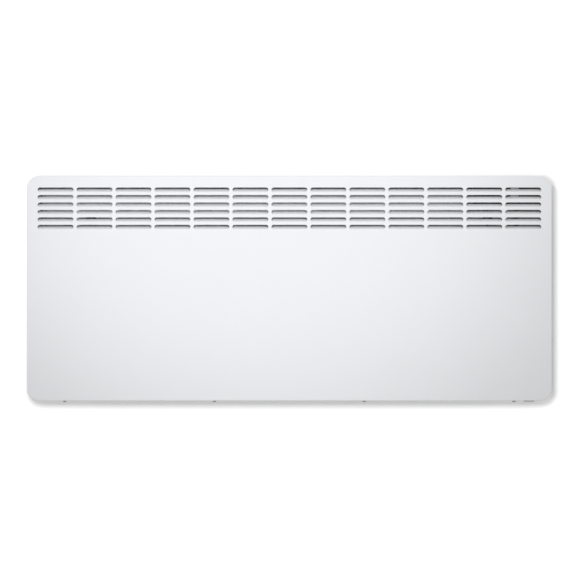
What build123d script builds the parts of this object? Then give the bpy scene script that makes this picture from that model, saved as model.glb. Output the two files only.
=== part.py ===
"""Wall panel convector heater, 3 kW class, hung on a wall bracket.

Frame in millimetres: X runs across the heater and +X is the right-hand side for someone who faces it,
Y runs from the room to the wall, Z is up. The wall is the plane Y = 0 and the front face looks to -Y.
The origin is the centre of the four wall screws, which is also the middle of the heater's front.
"""

import math
import os

from build123d import *

os.makedirs("parts", exist_ok=True)

# ---- driving dimensions: the heater as a whole -------------------------------------------------------
heater_width = 1050.0
heater_height = 450.0
heater_depth = 98.0
wall_gap = 28.0
panel_sheet = 1.0
casing_sheet = 0.8
corner_radius = 24.0
edge_radius = 2.0
sheet_clearance = 0.3
moving_clearance = 0.35

# ---- driving dimensions: louvres in the front panel --------------------------------------------------
louvre_columns = 13
louvre_rows = 6
louvre_side_margin = 21.1
louvre_web = 6.2
louvre_top_margin = 23.0
louvre_pitch_z = 14.9
louvre_height = 9.2
slot_end_chords = 4
tongue_rise = 6.4
tongue_angle = 53.0
tongue_crease = 1.2

# ---- driving dimensions: casing and its screws -------------------------------------------------------
panel_bottom_lip = 26.0
casing_top_flange = 10.0
casing_side_flange = 20.0
casing_floor_setback = 8.0
intake_rows = 3
intake_width = 7.5
intake_pitch = 12.5
intake_depth = 53.5
panel_screw_count = 4
panel_screw_inset = 75.0
panel_screw_setback = 13.0
screw_head_across = 7.0
screw_head_height = 2.2

# ---- driving dimensions: wall bracket, latches and feet ----------------------------------------------
bracket_sheet = 1.5
arm_inset = 126.5
arm_foot_width = 16.0
arm_top_drop = 59.0
arm_bottom_rise = 29.0
wall_screw_spacing_z = 220.0
wall_screw_hole_radius = 3.5
rail_height = 60.0
rail_lip = 8.0
upper_rail_drop = 106.0
lower_rail_rise = 46.0
hook_width = 16.0
hook_side_play = 2.0
hook_lip = 9.0
hook_slot_height = 12.0
hook_height = 45.0
latch_width = 17.6
latch_drop = 84.0
latch_neck = 10.0
latch_barb = 3.8
latch_nose = 8.0
latch_hub_radius = 6.0
latch_pin_radius = 2.0
latch_pin_fit = 0.08
latch_pivot_gap = 10.0
latch_swing = 12.0
foot_width = 24.0
foot_height = 16.0
foot_inset = 36.0
foot_rise = 20.0

# ---- driving dimensions: heat path -------------------------------------------------------------------
element_gap = 55.0
element_rise = 85.0
element_span_y = 36.0
element_span_z = 64.0
element_fin = 2.0
element_core_radius = 7.0
element_rib_places = (-0.5, -0.32, 0.32, 0.5)
element_left_inset = 62.0
bush_size = 22.0
bush_flange_size = 27.0
bush_flange = 3.0
bush_length = 14.0
duct_front_gap = 78.0
duct_top_drop = 120.0
duct_left_inset = 31.0
compartment_width = 172.0
deflector_radius = 58.0
deflector_foot = 12.0
limiter_inset = 93.0
limiter_drop = 65.0
limiter_radius = 8.0
limiter_plate = 1.0
limiter_height = 9.0
tab_width = 6.3
tab_thickness = 0.8
tab_length = 9.0
tab_pitch = 12.0

# ---- driving dimensions: controls --------------------------------------------------------------------
fascia_inset = 87.0
fascia_gap = 60.0
fascia_width = 36.0
fascia_sink = 0.2
fascia_rim = 3.0
fascia_rim_thickness = 1.8
fascia_corner = 3.0
window_margin = 6.0
window_length = 48.0
window_width = 24.0
window_sink = 0.4
window_key_gap = 10.5
display_border = 2.0
display_thickness = 3.0
key_count = 4
key_length = 10.0
key_width = 15.0
key_pitch = 14.5
key_height = 0.5
key_travel = 0.6
key_flange = 1.25
key_flange_thickness = 1.0
key_stem = 4.0
key_switch_size = 6.0
key_switch_height = 6.0
housing_margin = 7.0
housing_height = 54.0
housing_wall = 2.0
housing_setback = 13.5
board_depth = 16.0
board_thickness = 1.6
board_ledge = 3.0
relay_length = 28.0
relay_width = 13.0
relay_height = 15.0
plug_offset = 13.0
plug_length = 16.0
plug_height = 20.0
plug_depth = 3.0
plug_drop = 21.0

# ---- driving dimensions: mains switch ----------------------------------------------------------------
switch_inset = 44.0
switch_gap = 52.0
bezel_length = 21.0
bezel_width = 15.0
bezel_thickness = 2.3
switch_length = 19.0
switch_width = 12.8
switch_height = 21.0
switch_wall = 1.1
rocker_length = 14.8
rocker_pivot = 4.5
rocker_tilt = 8.0
rocker_face_sink = 0.1
rocker_back_gap = 0.5
rocker_root = 3.0
rocker_shoulder = 1.1

# ---- driving dimensions: supply side, room sensor and inner leads -------------------------------------
gland_rise = 60.0
gland_hex_radius = 10.0
gland_thread_radius = 6.0
gland_bore_radius = 4.0
gland_collar = 7.0
block_rise = 55.0
block_length = 36.0
block_height = 20.0
block_depth = 18.0
block_pocket = 6.0
sensor_inset = 60.0
sensor_holder_size = 12.0
sensor_radius = 2.5
sleeve_width = 10.0
sleeve_thickness = 5.0
lead_bend = 16.0
element_lead_reach = 24.0
switch_lead_shift = 26.0

# ---- planes and places worked out from these ---------------------------------------------------------
half_width = heater_width / 2
top_z = heater_height / 2
bottom_z = -top_z
front_y = -heater_depth
casing_back_y = -wall_gap
casing_front_y = casing_back_y - casing_sheet
casing_half_width = half_width - panel_sheet - sheet_clearance
casing_top_z = top_z - panel_sheet - sheet_clearance
casing_corner = corner_radius - panel_sheet - sheet_clearance
floor_z = bottom_z + panel_sheet + sheet_clearance
floor_top_z = floor_z + casing_sheet
straight_half_width = half_width - corner_radius
straight_half_height = top_z - corner_radius
arm_x = half_width - arm_inset
latch_z = top_z - latch_drop
hook_z = bottom_z + hook_height
duct_left_x = -half_width + duct_left_inset
compartment_x = half_width - compartment_width
duct_front_y = -duct_front_gap
duct_top_z = top_z - duct_top_drop
fascia_x = half_width - fascia_inset
key_span = (key_count - 1) * key_pitch + key_length
fascia_length = 2 * window_margin + window_length + window_key_gap + key_span
housing_length = fascia_length + 2 * housing_margin
switch_x = half_width - switch_inset


def save(piece, label):
    """Names a finished piece and writes it as its own STEP file."""
    piece.part.label = label
    export_step(piece.part, f"parts/{label}.step")


# ---- front panel: pressed steel tray, powder coated, with the louvre field pressed into its face ------
louvre_length = (heater_width - 2 * louvre_side_margin - (louvre_columns - 1) * louvre_web) / louvre_columns
louvre_pitch_x = louvre_length + louvre_web
louvre_field_z = top_z - louvre_top_margin - louvre_height / 2 - (louvre_rows - 1) * louvre_pitch_z / 2
fascia_opening_length = fascia_length + 2 * sheet_clearance
fascia_opening_width = fascia_width + 2 * sheet_clearance


def slot_outline(height):
    """Corners of a long slot whose round ends are drawn with a few chords, centred on the origin."""
    end_x = (louvre_length - louvre_height) / 2
    right_end = []
    for step in range(slot_end_chords + 1):
        angle = math.radians(180 * step / slot_end_chords - 90)
        right_end.append((end_x + louvre_height / 2 * math.cos(angle), height / 2 * math.sin(angle)))
    return right_end + [(-x, z) for x, z in reversed(right_end)]


def tongue_profile():
    """Section of one louvre tongue: it leaves the sheet at the slot's lower edge and bends in twice."""
    half_bend = math.radians(tongue_angle / 2)
    bend = math.radians(tongue_angle)
    knee = (front_y + tongue_crease * math.sin(half_bend), tongue_crease * math.cos(half_bend))
    reach = tongue_rise / math.cos(bend)
    tip = (knee[0] + reach * math.sin(bend), knee[1] + reach * math.cos(bend))
    tip_back = (tip[0] + panel_sheet * math.cos(bend), tip[1] - panel_sheet * math.sin(bend))
    mitre = panel_sheet / math.cos(half_bend / 2)
    knee_back = (knee[0] + mitre * math.cos(1.5 * half_bend), knee[1] - mitre * math.sin(1.5 * half_bend))
    root_back = (front_y + panel_sheet, -panel_sheet * math.tan(half_bend / 2))
    return [(front_y, 0), knee, tip, tip_back, knee_back, root_back]


with BuildPart() as louvre_tongues:
    with BuildSketch(Plane.YZ):
        with Locations((0, louvre_field_z - louvre_height / 2)):
            with GridLocations(0, louvre_pitch_z, 1, louvre_rows):
                Polygon(*tongue_profile(), align=None)
    extrude(amount=half_width - louvre_side_margin, both=True)
    with BuildSketch(Plane.XZ.offset(heater_depth / 2)):
        with Locations((0, louvre_field_z - (louvre_height - tongue_rise) / 2)):
            with GridLocations(louvre_pitch_x, louvre_pitch_z, louvre_columns, louvre_rows):
                Polygon(*slot_outline(tongue_rise), align=None)
    extrude(amount=heater_depth, mode=Mode.INTERSECT)

with BuildPart() as panel_cavity:
    with BuildSketch(Plane.XZ.offset(wall_gap)):
        inner_width = heater_width - 2 * panel_sheet
        inner_height = heater_height - 2 * panel_sheet
        RectangleRounded(inner_width, inner_height, corner_radius - panel_sheet)
    extrude(amount=heater_depth - wall_gap - panel_sheet)
    chamfer(panel_cavity.faces().sort_by(Axis.Y)[0].edges(), edge_radius - panel_sheet)

with BuildPart() as front_panel:
    with BuildSketch(Plane.XZ.offset(wall_gap)):
        RectangleRounded(heater_width, heater_height, corner_radius)
    extrude(amount=heater_depth - wall_gap)
    fillet(front_panel.faces().sort_by(Axis.Y)[0].edges(), edge_radius)
    add(panel_cavity.part, mode=Mode.SUBTRACT)
    with BuildSketch(Plane.XZ.offset(heater_depth)):
        with Locations((0, louvre_field_z)):
            with GridLocations(louvre_pitch_x, louvre_pitch_z, louvre_columns, louvre_rows):
                Polygon(*slot_outline(louvre_height), align=None)
    extrude(amount=-panel_sheet, mode=Mode.SUBTRACT)
    add(louvre_tongues.part)
    with BuildSketch(Plane.XY.offset(top_z)):
        with Locations((fascia_x, -fascia_gap)):
            RectangleRounded(fascia_opening_length, fascia_opening_width, fascia_corner)
    extrude(amount=-2 * panel_sheet, mode=Mode.SUBTRACT)
    with BuildSketch(Plane.XY.offset(bottom_z)):
        with Locations((0, front_y + panel_bottom_lip)):
            Rectangle(2 * straight_half_width, heater_depth, align=(Align.CENTER, Align.MIN))
    extrude(amount=2 * panel_sheet, mode=Mode.SUBTRACT)
save(front_panel, "front_panel")

# ---- panel screws: four heads under the bottom lip ---------------------------------------------------
panel_screw_y = front_y + panel_screw_setback
panel_screw_pitch = (heater_width - 2 * panel_screw_inset) / (panel_screw_count - 1)
with BuildPart() as panel_screws:
    with BuildSketch(Plane.XY.offset(bottom_z)):
        with Locations((0, panel_screw_y)):
            with GridLocations(panel_screw_pitch, 0, panel_screw_count, 1):
                RegularPolygon(screw_head_across / 2, 8)
    extrude(amount=-screw_head_height)
save(panel_screws, "panel_screws")

# ---- rear casing: folded sheet tray that the front panel closes --------------------------------------
latch_slot_width = latch_width + 2 * moving_clearance
latch_neck_top = latch_z + latch_neck / 2
latch_reach = -latch_pivot_gap - casing_front_y
latch_drop_in_slot = latch_reach * math.sin(math.radians(latch_swing))
latch_slot_top = latch_neck_top + 2 * sheet_clearance
latch_slot_bottom = latch_z - latch_neck / 2 - latch_drop_in_slot - 4 * sheet_clearance
latch_slot_height = latch_slot_top - latch_slot_bottom
floor_front_y = front_y + casing_floor_setback
floor_depth = casing_back_y - floor_front_y
gland_x = fascia_x
gland_z = bottom_z + gland_rise
hook_slot_width = hook_width + 2 * hook_side_play

with BuildPart() as rear_casing:
    with BuildSketch(Plane.XZ.offset(wall_gap)):
        RectangleRounded(2 * casing_half_width, 2 * casing_top_z, casing_corner)
    extrude(amount=casing_sheet)
    with BuildSketch(Plane.XY.offset(floor_z)):
        with Locations((0, floor_front_y)):
            Rectangle(2 * straight_half_width, floor_depth, align=(Align.CENTER, Align.MIN))
    extrude(amount=casing_sheet)
    with BuildSketch(Plane.XY.offset(casing_top_z)):
        with Locations((0, casing_back_y)):
            Rectangle(2 * straight_half_width, casing_top_flange, align=(Align.CENTER, Align.MAX))
    extrude(amount=-casing_sheet)
    with BuildSketch(Plane.XZ.offset(wall_gap)):
        with GridLocations(2 * casing_half_width - casing_sheet, 0, 2, 1):
            Rectangle(casing_sheet, 2 * straight_half_height)
    extrude(amount=casing_side_flange)
    with BuildSketch(Plane.XY.offset(floor_z)):
        with Locations((-louvre_pitch_x / 2, -intake_depth)):
            with GridLocations(louvre_pitch_x, intake_pitch, louvre_columns - 3, intake_rows):
                Rectangle(louvre_length, intake_width)
        with Locations((switch_x, -switch_gap)):
            Rectangle(switch_length + 2 * sheet_clearance, switch_width + 2 * sheet_clearance)
    extrude(amount=casing_sheet, mode=Mode.SUBTRACT)
    with BuildSketch(Plane.XZ.offset(wall_gap)):
        with Locations((0, latch_slot_bottom)):
            with GridLocations(2 * arm_x, 0, 2, 1):
                Rectangle(latch_slot_width, latch_slot_height, align=(Align.CENTER, Align.MIN))
        with Locations((0, hook_z)):
            with GridLocations(2 * arm_x, 0, 2, 1):
                Rectangle(hook_slot_width, hook_slot_height, align=(Align.CENTER, Align.MAX))
        with Locations((gland_x, gland_z)):
            Circle(gland_thread_radius + sheet_clearance)
    extrude(amount=casing_sheet, mode=Mode.SUBTRACT)
save(rear_casing, "rear_casing")

# ---- wall bracket: two hat-section arms joined by two rails ------------------------------------------
arm_front_y = casing_back_y + sheet_clearance
cheek_inner = latch_width / 2 + moving_clearance
cheek_outer = cheek_inner + bracket_sheet
arm_half_width = cheek_outer + arm_foot_width
arm_top_z = top_z - arm_top_drop
arm_bottom_z = bottom_z + arm_bottom_rise
wall_screw_offset = cheek_outer + arm_foot_width / 2
web_window_top = latch_neck_top + sheet_clearance
hook_end_y = casing_front_y - sheet_clearance - bracket_sheet

for side, side_name in ((-1, "left"), (1, "right")):
    centre_x = side * arm_x
    with BuildPart() as bracket_arm:
        with BuildSketch(Plane.XY.offset(arm_bottom_z)):
            with Locations((centre_x, 0)):
                Rectangle(2 * arm_half_width, bracket_sheet, align=(Align.CENTER, Align.MAX))
                Rectangle(2 * cheek_outer, -arm_front_y, align=(Align.CENTER, Align.MAX))
            with Locations((centre_x, arm_front_y + bracket_sheet)):
                Rectangle(2 * cheek_inner, heater_depth, align=(Align.CENTER, Align.MIN), mode=Mode.SUBTRACT)
        extrude(amount=arm_top_z - arm_bottom_z)
        with BuildSketch(Plane.XZ.offset(-arm_front_y)):
            with Locations((centre_x, web_window_top)):
                window_height = web_window_top - latch_slot_bottom
                Rectangle(2 * cheek_inner, window_height, align=(Align.CENTER, Align.MAX))
        extrude(amount=-bracket_sheet, mode=Mode.SUBTRACT)
        with BuildSketch(Plane.XZ):
            with Locations((centre_x - side * wall_screw_offset, 0)):
                with GridLocations(0, wall_screw_spacing_z, 1, 2):
                    Circle(wall_screw_hole_radius)
        extrude(amount=bracket_sheet, mode=Mode.SUBTRACT)
        with BuildSketch(Plane.YZ.offset(centre_x)):
            with Locations((hook_end_y, hook_z)):
                Rectangle(arm_front_y - hook_end_y, bracket_sheet, align=(Align.MIN, Align.MAX))
            with Locations((hook_end_y, hook_z - bracket_sheet)):
                Rectangle(bracket_sheet, bracket_sheet + hook_lip, align=(Align.MIN, Align.MIN))
        extrude(amount=hook_width / 2, both=True)
    save(bracket_arm, f"bracket_arm_{side_name}")

    with BuildPart() as latch_pin:
        with BuildSketch(Plane.YZ.offset(centre_x)):
            with Locations((-latch_pivot_gap, latch_z)):
                Circle(latch_pin_radius)
        extrude(amount=cheek_inner, both=True)
    save(latch_pin, f"latch_pin_{side_name}")

    barb_y = casing_front_y - sheet_clearance
    with BuildPart() as latch:
        with BuildSketch(Plane.YZ.offset(centre_x)):
            with Locations((-latch_pivot_gap, latch_z)):
                Circle(latch_hub_radius)
            Polygon(
                (-latch_pivot_gap, latch_z - latch_neck / 2),
                (-latch_pivot_gap, latch_neck_top),
                (barb_y, latch_neck_top),
                (barb_y, latch_neck_top + latch_barb),
                (barb_y - latch_nose, latch_z),
                (barb_y - latch_nose, latch_z - latch_neck / 2),
                align=None,
            )
            with Locations((-latch_pivot_gap, latch_z)):
                Circle(latch_pin_radius + latch_pin_fit, mode=Mode.SUBTRACT)
        extrude(amount=latch_width / 2, both=True)
    save(latch, f"latch_{side_name}")

    with BuildPart() as wall_foot:
        with BuildSketch(Plane.XZ):
            with Locations((side * (half_width - foot_inset), bottom_z + foot_rise)):
                Rectangle(foot_width, foot_height)
        extrude(amount=wall_gap)
        chamfer(wall_foot.faces().sort_by(Axis.Y)[-1].edges(), 2 * panel_sheet)
    save(wall_foot, f"wall_foot_{side_name}")

rail_length = 2 * (arm_x - cheek_outer - sheet_clearance)
upper_rail_z = arm_top_z - upper_rail_drop
lower_rail_z = arm_bottom_z + lower_rail_rise
for rail_z, rail_name in ((upper_rail_z, "upper"), (lower_rail_z, "lower")):
    with BuildPart() as rail:
        with BuildSketch(Plane.YZ):
            with Locations((-bracket_sheet, rail_z)):
                Rectangle(bracket_sheet, rail_height, align=(Align.MAX, Align.CENTER))
                with GridLocations(0, rail_height - bracket_sheet, 1, 2):
                    Rectangle(rail_lip, bracket_sheet, align=(Align.MAX, Align.CENTER))
        extrude(amount=rail_length / 2, both=True)
    save(rail, f"bracket_rail_{rail_name}")

# ---- air duct: shield, compartment wall and deflector with its two cheeks -----------------------------
element_y = -element_gap
element_z = bottom_z + element_rise
with BuildPart() as heat_shield:
    with BuildSketch(Plane.XY.offset(floor_top_z)):
        with Locations((duct_left_x, duct_front_y)):
            Rectangle(compartment_x - duct_left_x, casing_sheet, align=(Align.MIN, Align.MIN))
            Rectangle(casing_sheet, casing_front_y - duct_front_y, align=(Align.MIN, Align.MIN))
    extrude(amount=duct_top_z - floor_top_z)
save(heat_shield, "heat_shield")

with BuildPart() as compartment_wall:
    with BuildSketch(Plane.YZ.offset(compartment_x)):
        with Locations((duct_front_y, floor_top_z)):
            Rectangle(casing_front_y - duct_front_y, duct_top_z - floor_top_z, align=(Align.MIN, Align.MIN))
        with Locations((element_y, element_z)):
            Rectangle(bush_size + sheet_clearance, bush_size + sheet_clearance, mode=Mode.SUBTRACT)
    extrude(amount=casing_sheet)
save(compartment_wall, "compartment_wall")

deflector_centre_y = casing_front_y - deflector_radius
deflector_top_z = casing_top_z - casing_sheet - sheet_clearance
deflector_centre_z = deflector_top_z - deflector_radius
cheek_bottom_z = duct_top_z + sheet_clearance
with BuildPart() as air_deflector:
    with BuildSketch(Plane.YZ.offset(duct_left_x)):
        with BuildLine():
            foot = Line(
                (casing_front_y, deflector_centre_z - deflector_foot),
                (casing_front_y, deflector_centre_z),
            )
            CenterArc((deflector_centre_y, deflector_centre_z), deflector_radius, 0, 90)
            Line(
                (deflector_centre_y, deflector_top_z),
                (deflector_centre_y, deflector_top_z - casing_sheet),
            )
            CenterArc((deflector_centre_y, deflector_centre_z), deflector_radius - casing_sheet, 0, 90)
            Polyline(
                (casing_front_y - casing_sheet, deflector_centre_z),
                (casing_front_y - casing_sheet, deflector_centre_z - deflector_foot),
                foot @ 0,
            )
        make_face()
    extrude(amount=compartment_x - duct_left_x)
    for cheek_x in (duct_left_x, compartment_x - casing_sheet):
        with BuildSketch(Plane.YZ.offset(cheek_x)):
            with Locations((deflector_centre_y, deflector_centre_z)):
                Circle(deflector_radius)
            with Locations((duct_front_y, deflector_centre_z)):
                Rectangle(
                    casing_front_y - duct_front_y,
                    deflector_radius,
                    align=(Align.MIN, Align.MIN),
                    mode=Mode.INTERSECT,
                )
            with Locations((duct_front_y, cheek_bottom_z)):
                Rectangle(
                    casing_front_y - duct_front_y,
                    deflector_centre_z - cheek_bottom_z,
                    align=(Align.MIN, Align.MIN),
                )
        extrude(amount=casing_sheet)
save(air_deflector, "air_deflector")

# ---- heating element: extruded X profile between two ceramic bushes -----------------------------------
element_bracket_x = -half_width + element_left_inset
element_start_x = element_bracket_x + casing_sheet + bush_flange
element_end_x = compartment_x - bush_flange
fin_length = math.hypot(element_span_y, element_span_z)
fin_angle = math.degrees(math.atan2(element_span_y, element_span_z))
fin_rib = 4 * element_fin
with BuildPart() as heating_element:
    with BuildSketch(Plane.YZ.offset(element_start_x)):
        with Locations((element_y, element_z)):
            Circle(element_core_radius)
            for tilt in (fin_angle, -fin_angle):
                Rectangle(element_fin, fin_length, rotation=tilt)
                for rib_at in element_rib_places:
                    rib_y = -rib_at * fin_length * math.sin(math.radians(tilt))
                    rib_z = rib_at * fin_length * math.cos(math.radians(tilt))
                    with Locations((rib_y, rib_z)):
                        Rectangle(fin_rib, element_fin, rotation=tilt)
    extrude(amount=element_end_x - element_start_x)
save(heating_element, "heating_element")

with BuildPart() as element_bracket:
    with BuildSketch(Plane.YZ.offset(element_bracket_x)):
        with Locations((casing_front_y, element_z)):
            bracket_depth = casing_front_y - duct_front_y - 4 * casing_sheet
            Rectangle(bracket_depth, element_span_z, align=(Align.MAX, Align.CENTER))
        with Locations((element_y, element_z)):
            Rectangle(bush_size + sheet_clearance, bush_size + sheet_clearance, mode=Mode.SUBTRACT)
    extrude(amount=casing_sheet)
    with BuildSketch(Plane.XZ.offset(-casing_front_y)):
        with Locations((element_bracket_x, element_z)):
            Rectangle(casing_side_flange, element_span_z, align=(Align.MAX, Align.CENTER))
    extrude(amount=casing_sheet)
save(element_bracket, "element_bracket")

for side_name, flange_x, outward in (("left", element_start_x, -1), ("right", element_end_x, 1)):
    with BuildPart() as element_bush:
        with BuildSketch(Plane.YZ.offset(flange_x)):
            with Locations((element_y, element_z)):
                Rectangle(bush_flange_size, bush_flange_size)
        extrude(amount=outward * bush_flange)
        with BuildSketch(Plane.YZ.offset(flange_x)):
            with Locations((element_y, element_z)):
                Rectangle(bush_size, bush_size)
        extrude(amount=outward * bush_length)
    save(element_bush, f"element_bush_{side_name}")

element_tab_x = element_end_x + bush_length
with BuildPart() as element_tabs:
    with BuildSketch(Plane.YZ.offset(element_tab_x)):
        with Locations((element_y, element_z)):
            with GridLocations(0, tab_pitch, 1, 2):
                Rectangle(tab_width, tab_thickness)
    extrude(amount=tab_length)
save(element_tabs, "element_tabs")

limiter_x = compartment_x - limiter_inset
limiter_z = duct_top_z - limiter_drop
with BuildPart() as safety_limiter:
    with BuildSketch(Plane.XZ.offset(-casing_front_y)):
        with Locations((limiter_x, limiter_z)):
            Rectangle(3 * limiter_radius, 1.5 * limiter_radius)
    extrude(amount=limiter_plate)
    with BuildSketch(Plane.XZ.offset(-casing_front_y)):
        with Locations((limiter_x, limiter_z)):
            Circle(limiter_radius)
    extrude(amount=limiter_height)
    with BuildSketch(Plane.XZ.offset(limiter_height - casing_front_y)):
        with Locations((limiter_x, limiter_z)):
            with GridLocations(limiter_radius, 0, 2, 1):
                Rectangle(tab_thickness, tab_width)
    extrude(amount=tab_length)
save(safety_limiter, "safety_limiter")

# ---- control unit under the top edge -----------------------------------------------------------------
fascia_top_z = top_z - fascia_sink
fascia_rim_top_z = top_z - panel_sheet - sheet_clearance
fascia_bottom_z = fascia_rim_top_z - fascia_rim_thickness
fascia_y = -fascia_gap
window_x = fascia_x - fascia_length / 2 + window_margin + window_length / 2
last_key_x = fascia_x + fascia_length / 2 - window_margin - key_length / 2
key_xs = [last_key_x - key_pitch * (key_count - 1 - index) for index in range(key_count)]

with BuildPart() as control_fascia:
    with BuildSketch(Plane.XY.offset(fascia_bottom_z)):
        with Locations((fascia_x, fascia_y)):
            Rectangle(fascia_length + 2 * fascia_rim, fascia_width + 2 * fascia_rim)
    extrude(amount=fascia_rim_thickness)
    with BuildSketch(Plane.XY.offset(fascia_bottom_z)):
        with Locations((fascia_x, fascia_y)):
            RectangleRounded(fascia_length, fascia_width, fascia_corner)
    extrude(amount=fascia_top_z - fascia_bottom_z)
    with BuildSketch(Plane.XY.offset(fascia_top_z)):
        with Locations((window_x, fascia_y)):
            Rectangle(window_length, window_width)
        with Locations([(key_x, fascia_y) for key_x in key_xs]):
            Rectangle(key_length + 2 * moving_clearance, key_width + 2 * moving_clearance)
    extrude(amount=-fascia_top_z + fascia_bottom_z, mode=Mode.SUBTRACT)
save(control_fascia, "control_fascia")

with BuildPart() as display_window:
    with BuildSketch(Plane.XY.offset(fascia_bottom_z)):
        with Locations((window_x, fascia_y)):
            Rectangle(window_length - sheet_clearance, window_width - sheet_clearance)
    extrude(amount=fascia_top_z - window_sink - fascia_bottom_z)
save(display_window, "display_window")

with BuildPart() as display_module:
    with BuildSketch(Plane.XY.offset(fascia_bottom_z)):
        with Locations((window_x, fascia_y)):
            Rectangle(window_length + 2 * display_border, window_width + 2 * display_border)
    extrude(amount=-display_thickness)
save(display_module, "display_module")

board_top_z = fascia_bottom_z - board_depth
key_flange_top_z = fascia_bottom_z - sheet_clearance
key_stem_bottom_z = board_top_z + key_switch_height + key_travel + sheet_clearance
for index, key_x in enumerate(key_xs, start=1):
    with BuildPart() as key:
        with BuildSketch(Plane.XY.offset(key_flange_top_z)):
            with Locations((key_x, fascia_y)):
                Rectangle(key_length, key_width)
        extrude(amount=fascia_top_z + key_height - key_flange_top_z)
        chamfer(key.faces().sort_by(Axis.Z)[-1].edges(), key_height)
        with BuildSketch(Plane.XY.offset(key_flange_top_z)):
            with Locations((key_x, fascia_y)):
                Rectangle(key_length + 2 * key_flange, key_width + 2 * key_flange)
        extrude(amount=-key_flange_thickness)
        with BuildSketch(Plane.XY.offset(key_flange_top_z)):
            with Locations((key_x, fascia_y)):
                Rectangle(key_stem, key_stem)
        extrude(amount=key_stem_bottom_z - key_flange_top_z)
    save(key, f"key_{index}")

housing_front_y = front_y + housing_setback
housing_bottom_z = fascia_bottom_z - housing_height
housing_centre_y = (housing_front_y + casing_front_y) / 2
housing_width = casing_front_y - housing_front_y
board_bottom_z = board_top_z - board_thickness
with BuildPart() as control_housing:
    with BuildSketch(Plane.XY.offset(housing_bottom_z)):
        with Locations((fascia_x, housing_centre_y)):
            Rectangle(housing_length, housing_width)
    extrude(amount=housing_height)
    with BuildSketch(Plane.XY.offset(housing_bottom_z + housing_wall)):
        with Locations((fascia_x, housing_centre_y)):
            inner_margin = 2 * (housing_wall + board_ledge)
            Rectangle(housing_length - inner_margin, housing_width - inner_margin)
    extrude(amount=board_bottom_z - housing_bottom_z - housing_wall, mode=Mode.SUBTRACT)
    with BuildSketch(Plane.XY.offset(board_bottom_z)):
        with Locations((fascia_x, housing_centre_y)):
            Rectangle(housing_length - 2 * housing_wall, housing_width - 2 * housing_wall)
    extrude(amount=fascia_bottom_z - housing_wall - board_bottom_z, mode=Mode.SUBTRACT)
    with BuildSketch(Plane.XY.offset(fascia_bottom_z - housing_wall)):
        with Locations((fascia_x, fascia_y)):
            Rectangle(fascia_length, fascia_width)
    extrude(amount=housing_wall, mode=Mode.SUBTRACT)
save(control_housing, "control_housing")

with BuildPart() as circuit_board:
    with BuildSketch(Plane.XY.offset(board_bottom_z)):
        with Locations((fascia_x, housing_centre_y)):
            board_gap = 2 * (housing_wall + sheet_clearance)
            Rectangle(housing_length - board_gap, housing_width - board_gap)
    extrude(amount=board_thickness)
    with BuildSketch(Plane.XY.offset(board_top_z)):
        with Locations([(key_x, fascia_y) for key_x in key_xs]):
            Rectangle(key_switch_size, key_switch_size)
    extrude(amount=key_switch_height)
save(circuit_board, "circuit_board")

with BuildPart() as power_relay:
    with BuildSketch(Plane.XY.offset(board_bottom_z)):
        with Locations((fascia_x, housing_centre_y)):
            Rectangle(relay_length, relay_width)
    extrude(amount=-relay_height)
save(power_relay, "power_relay")

plug_x = fascia_x + plug_offset
with BuildPart() as lead_plug:
    with BuildSketch(Plane.XZ.offset(-housing_front_y)):
        with Locations((plug_x, top_z - plug_drop)):
            Rectangle(plug_length, plug_height, align=(Align.CENTER, Align.MAX))
    extrude(amount=plug_depth)
save(lead_plug, "lead_plug")

# ---- mains switch in the casing's floor ---------------------------------------------------------------
bezel_z = floor_z - bezel_thickness
pivot_z = bezel_z + rocker_pivot
cavity_length = switch_length - 2 * switch_wall
cavity_width = switch_width - 2 * switch_wall
cavity_depth = 2 * rocker_pivot + rocker_back_gap
with BuildPart() as switch_body:
    with BuildSketch(Plane.XY.offset(floor_z)):
        with Locations((switch_x, -switch_gap)):
            Rectangle(bezel_length, bezel_width)
    extrude(amount=-bezel_thickness)
    with BuildSketch(Plane.XY.offset(floor_z)):
        with Locations((switch_x, -switch_gap)):
            Rectangle(switch_length, switch_width)
    extrude(amount=switch_height)
    with BuildSketch(Plane.XY.offset(bezel_z)):
        with Locations((switch_x, -switch_gap)):
            Rectangle(cavity_length, cavity_width)
    extrude(amount=cavity_depth, mode=Mode.SUBTRACT)
save(switch_body, "switch_body")

rocker_half = rocker_length / 2
rocker_face = rocker_pivot - rocker_face_sink
rocker_end = rocker_face + rocker_half * math.tan(math.radians(rocker_tilt))
with BuildPart() as switch_rocker:
    with BuildSketch(Plane.XZ.offset(switch_gap)):
        with Locations((switch_x, pivot_z)):
            Polygon(
                (0, -rocker_face),
                (rocker_half, -rocker_end),
                (rocker_half, -rocker_shoulder),
                (rocker_root, rocker_root),
                (-rocker_root, rocker_root),
                (-rocker_half, -rocker_shoulder),
                (-rocker_half, -rocker_end),
                rotation=-rocker_tilt,
                align=None,
            )
    extrude(amount=cavity_width / 2 - moving_clearance, both=True)
save(switch_rocker, "switch_rocker")

switch_top_z = floor_z + switch_height
with BuildPart() as switch_tabs:
    with BuildSketch(Plane.XY.offset(switch_top_z)):
        with Locations((switch_x, -switch_gap)):
            with GridLocations(switch_length / 3, 0, 3, 1):
                Rectangle(tab_thickness, tab_width)
    extrude(amount=tab_length)
save(switch_tabs, "switch_tabs")

# ---- supply side: terminal block, gland, room sensor and inner leads ----------------------------------
block_z = gland_z + block_rise
with BuildPart() as terminal_block:
    with BuildSketch(Plane.XZ.offset(-casing_front_y)):
        with Locations((gland_x, block_z)):
            Rectangle(block_length, block_height)
    extrude(amount=block_depth)
    with BuildSketch(Plane.XZ.offset(block_depth - casing_front_y)):
        with Locations((gland_x, block_z)):
            with GridLocations(block_length / 3, 0, 3, 1):
                Rectangle(block_pocket, block_pocket)
    extrude(amount=-block_pocket, mode=Mode.SUBTRACT)
save(terminal_block, "terminal_block")

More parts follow.
